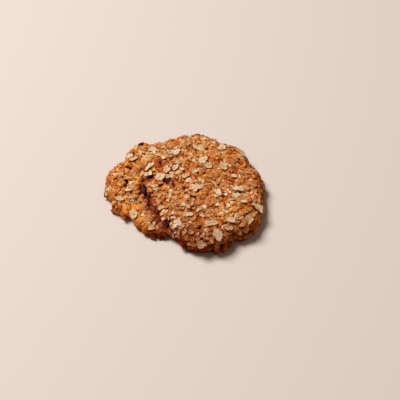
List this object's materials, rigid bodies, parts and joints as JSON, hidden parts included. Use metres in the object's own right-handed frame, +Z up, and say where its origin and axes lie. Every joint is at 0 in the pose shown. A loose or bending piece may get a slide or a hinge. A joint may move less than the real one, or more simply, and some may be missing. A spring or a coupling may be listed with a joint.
{
  "type": "oatmeal raisin cookie",
  "caption": "Large craggy drop cookie with a lower side lobe, covered in rolled oats, with raisins in pockets along the fold",
  "frame": {"origin": "under the middle of the cookie's bounding box, on its flat underside", "axes": "+Z up, +X along the long way, from the side lobe towards the main mound, +Y away from the shown side"},
  "size_m": [0.1051, 0.101, 0.016],
  "materials": {
    "dough": "baked oat dough, matt with a slight sheen of butter and sugar",
    "oat": "dry toasted rolled oats, matt and fibrous",
    "raisin": "wrinkled dried grape skin, half gloss"
  },
  "bodies": {
    "root": {"cookie": "dough", "raisin_1": "raisin", "raisin_2": "raisin", "raisin_3": "raisin", "raisin_4": "raisin", "raisin_5": "raisin", "raisin_6": "raisin", "raisin_7": "raisin", "raisin_8": "raisin", "raisin_9": "raisin"}
  },
  "joints": []
}
